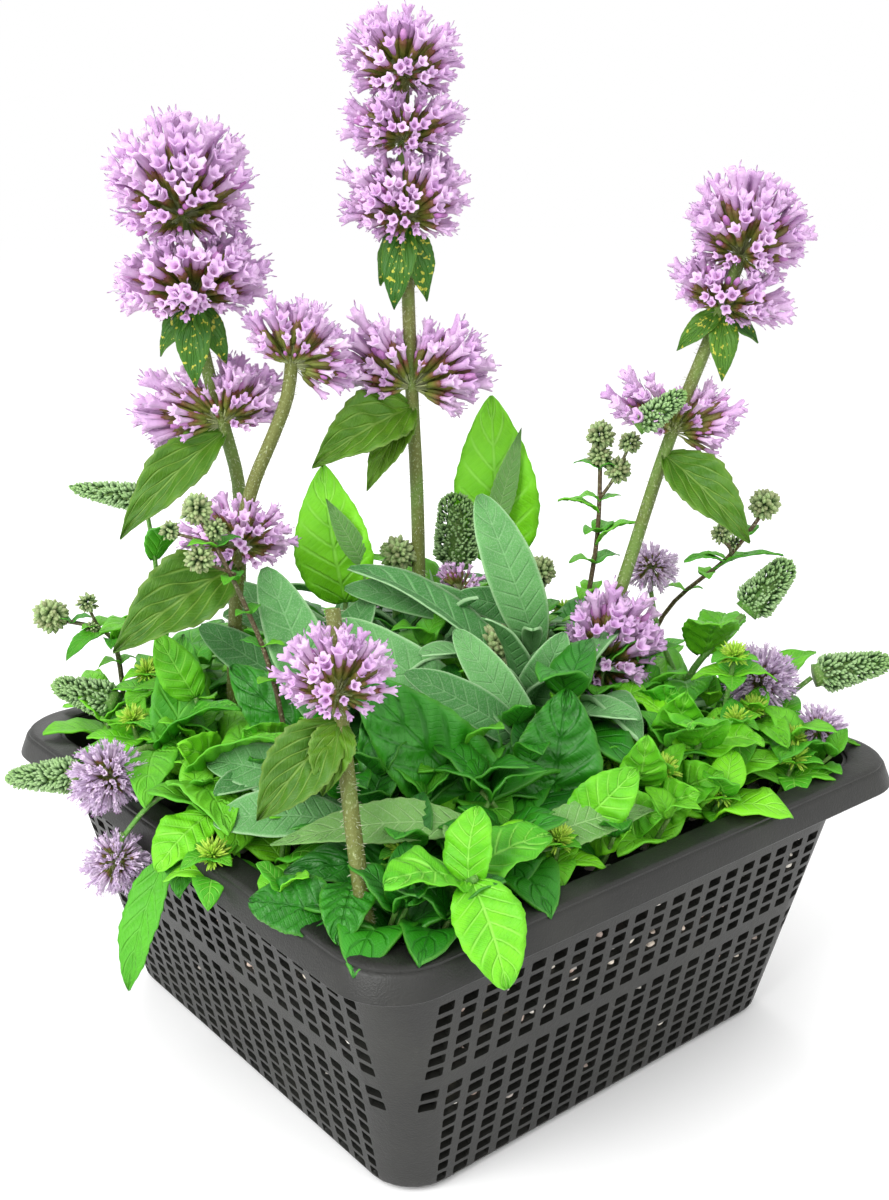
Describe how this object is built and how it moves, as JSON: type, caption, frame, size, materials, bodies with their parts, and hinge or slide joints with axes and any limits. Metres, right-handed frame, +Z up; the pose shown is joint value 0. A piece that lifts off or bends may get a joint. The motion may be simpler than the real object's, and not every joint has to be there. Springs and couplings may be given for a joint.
{
  "type": "potted water mint",
  "caption": "Flowering water mint growing in a square perforated planting basket, with lilac flower whorls on tall stems over dense leaves.",
  "frame": {"origin": "middle of the basket's flat underside", "axes": "+Z up along the plant; X and Y along the basket's sides"},
  "size_m": [0.216, 0.2025, 0.2866],
  "materials": {
    "basket_plastic": "satin",
    "compost": "matte",
    "gravel_stone": "matte",
    "pebble_stone": "satin",
    "stem_green": "matte",
    "lilac_florets": "matte",
    "mauve_florets": "matte",
    "green_spike": "matte",
    "bud_sprig": "matte",
    "bright_leaf": "satin",
    "olive_leaf": "satin",
    "grey_green_leaf": "matte",
    "dark_leaf": "satin",
    "mint_leaf": "satin"
  },
  "bodies": {
    "root": {"basket": "basket_plastic", "gravel": "gravel_stone", "leaf_bright_left": "bright_leaf", "leaf_bright_right": "bright_leaf", "leaf_centre": "olive_leaf", "leaf_front": "olive_leaf", "leaf_inner_left": "olive_leaf", "leaf_left": "olive_leaf", "leaf_right": "olive_leaf", "pebble_front": "pebble_stone", "pebble_front_left": "pebble_stone", "pebble_front_right": "pebble_stone", "pompom_left": "mauve_florets", "pompom_left_low": "mauve_florets", "pompom_right": "mauve_florets", "pompom_right_back": "mauve_florets", "pompom_right_low": "mauve_florets", "root_ball": "compost", "shoot_broad": "dark_leaf", "shoot_centre": "mint_leaf", "shoot_front_rim": "bright_leaf", "shoot_left": "mint_leaf", "shoot_left_back": "mint_leaf", "shoot_left_low": "mint_leaf", "shoot_right": "mint_leaf", "shoot_right_back": "mint_leaf", "shoot_right_low": "mint_leaf", "shoot_right_rim": "bright_leaf", "shoot_sage_centre": "grey_green_leaf", "shoot_sage_left": "grey_green_leaf", "soil": "compost", "spike_centre": "green_spike", "spike_left": "green_spike", "spike_left_back": "green_spike", "spike_left_upper": "green_spike", "spike_right": "green_spike", "spike_right_back": "green_spike", "sprig_left": "bud_sprig", "sprig_right": "bud_sprig", "sprig_right_back": "bud_sprig", "stem_centre": "stem_green", "stem_front": "stem_green", "stem_inner_left": "stem_green", "stem_left": "stem_green", "stem_right": "stem_green", "whorl_centre_low": "lilac_florets", "whorl_centre_middle": "lilac_florets", "whorl_centre_second": "lilac_florets", "whorl_centre_top": "lilac_florets", "whorl_front": "lilac_florets", "whorl_inner_left_low": "lilac_florets", "whorl_inner_left_top": "lilac_florets", "whorl_left_middle": "lilac_florets", "whorl_left_second": "lilac_florets", "whorl_left_top": "lilac_florets", "whorl_right_low": "lilac_florets", "whorl_right_middle": "lilac_florets", "whorl_right_second": "lilac_florets", "whorl_right_top": "lilac_florets"}
  },
  "joints": []
}
